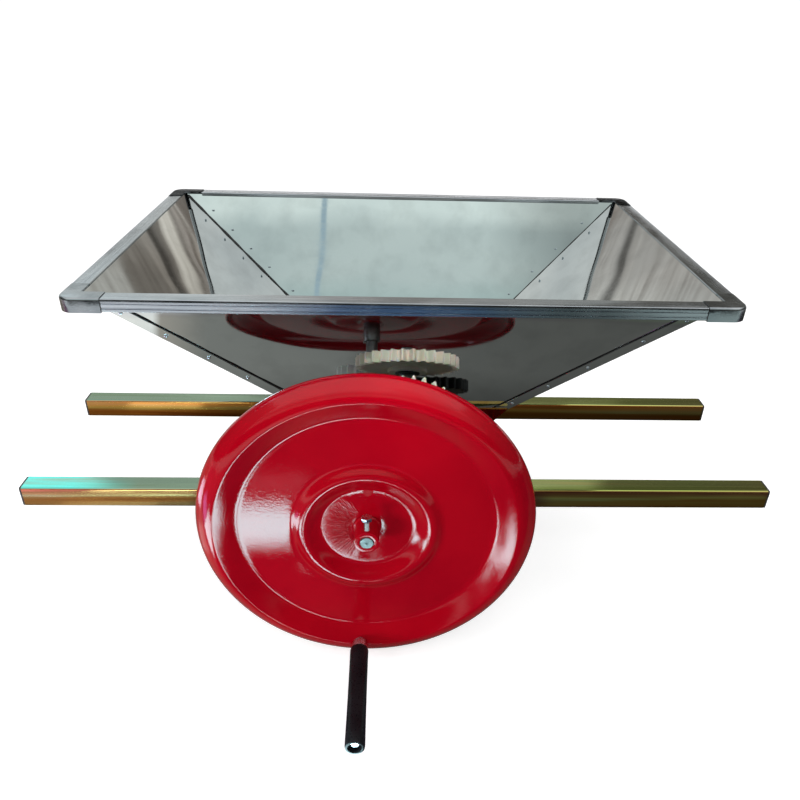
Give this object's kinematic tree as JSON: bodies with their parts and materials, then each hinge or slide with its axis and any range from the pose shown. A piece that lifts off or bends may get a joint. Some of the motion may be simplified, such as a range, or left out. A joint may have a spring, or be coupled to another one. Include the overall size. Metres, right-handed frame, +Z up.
{
  "type": "apple mill",
  "caption": "Hand-cranked apple mill: stainless hopper over two crushing rollers and an agitator, geared to a red flywheel, on two carrying bars.",
  "frame": {"origin": "midway between the two carrying bars, in the plane of their undersides, under the middle of the hopper", "axes": "+X along the bars to the right as seen from the flywheel, -Y towards the flywheel and its operator, +Z up"},
  "size_m": [1.15, 0.7578, 0.5308],
  "materials": {
    "mirror_steel": "mirror polished stainless sheet",
    "trim_steel": "bright stainless trim",
    "corner_steel": "brushed stainless",
    "yellow_zinc": "zinc plated, yellow passivated with a rainbow sheen",
    "bright_zinc": "bright zinc plated",
    "shaft_steel": "ground steel",
    "roller_aluminium": "as cast and turned",
    "red_paint": "glossy red paint",
    "black_plastic": "moulded black plastic",
    "bearing_plastic": "moulded black nylon",
    "black_nylon": "moulded black nylon",
    "white_nylon": "white nylon",
    "beige_nylon": "natural beige nylon",
    "grip_plastic": "smooth black plastic"
  },
  "bodies": {
    "frame": {"agitator_front_block": "white_nylon", "agitator_rear_block": "white_nylon", "crank_shaft_front_bush": "bearing_plastic", "crank_shaft_rear_bush": "bearing_plastic", "driven_shaft_front_bush": "bearing_plastic", "driven_shaft_rear_bush": "bearing_plastic", "front_bar": "yellow_zinc", "front_bar_left_plug": "black_plastic", "front_bar_right_plug": "black_plastic", "front_bearing_plate": "yellow_zinc", "front_left_corner": "corner_steel", "front_left_frame_bolt": "bright_zinc", "front_left_frame_nut": "bright_zinc", "front_panel": "mirror_steel", "front_right_corner": "corner_steel", "front_right_frame_bolt": "bright_zinc", "front_right_frame_nut": "bright_zinc", "front_rim_strip": "trim_steel", "left_panel": "mirror_steel", "left_rim_strip": "trim_steel", "rear_bar": "yellow_zinc", "rear_bar_left_plug": "black_plastic", "rear_bar_right_plug": "black_plastic", "rear_bearing_plate": "yellow_zinc", "rear_left_corner": "corner_steel", "rear_left_frame_bolt": "bright_zinc", "rear_left_frame_nut": "bright_zinc", "rear_panel": "mirror_steel", "rear_right_corner": "corner_steel", "rear_right_frame_bolt": "bright_zinc", "rear_right_frame_nut": "bright_zinc", "rear_rim_strip": "trim_steel", "right_panel": "mirror_steel", "right_rim_strip": "trim_steel"},
    "crank": {"crank_shaft": "shaft_steel", "crank_roller": "roller_aluminium", "drive_gear": "white_nylon", "crank_spacer": "shaft_steel", "flywheel": "red_paint", "flywheel_hub": "red_paint", "hub_set_bolt": "bright_zinc", "handle_spindle": "bright_zinc", "handle_collar": "bright_zinc", "grip_screw": "bright_zinc"},
    "driven": {"driven_shaft": "shaft_steel", "driven_roller": "roller_aluminium", "driven_gear": "black_nylon", "driven_spacer": "shaft_steel", "driven_gear_ring": "bright_zinc"},
    "agitator": {"agitator_shaft": "shaft_steel", "agitator_gear": "beige_nylon", "agitator_gear_washer": "black_nylon", "agitator_spacer": "shaft_steel", "agitator_gear_nut": "bright_zinc", "agitator_rear_collar": "bright_zinc", "agitator_paddle_1": "mirror_steel", "agitator_paddle_2": "mirror_steel", "agitator_paddle_3": "mirror_steel", "agitator_paddle_4": "mirror_steel"},
    "grip": {"handle_grip": "grip_plastic"}
  },
  "joints": [
    {"name": "crank_turn", "type": "hinge", "parent": "frame", "child": "crank", "pos_m": [-0.0495, 0, 0.0725], "axis": [0, 1, 0], "continuous": true},
    {"name": "driven_turn", "type": "hinge", "parent": "frame", "child": "driven", "pos_m": [0.0495, 0, 0.0725], "axis": [0, 1, 0], "continuous": true},
    {"name": "agitator_turn", "type": "hinge", "parent": "frame", "child": "agitator", "pos_m": [0.004, 0, 0.17908], "axis": [0, 1, 0], "continuous": true},
    {"name": "grip_spin", "type": "hinge", "parent": "crank", "child": "grip", "pos_m": [-0.0614, -0.4, -0.12214], "axis": [0, 1, 0], "continuous": true}
  ],
  "couplings": [
    {"joint": "driven_turn", "follows": "crank_turn", "ratio": -1},
    {"joint": "agitator_turn", "follows": "crank_turn", "ratio": -0.70968}
  ]
}
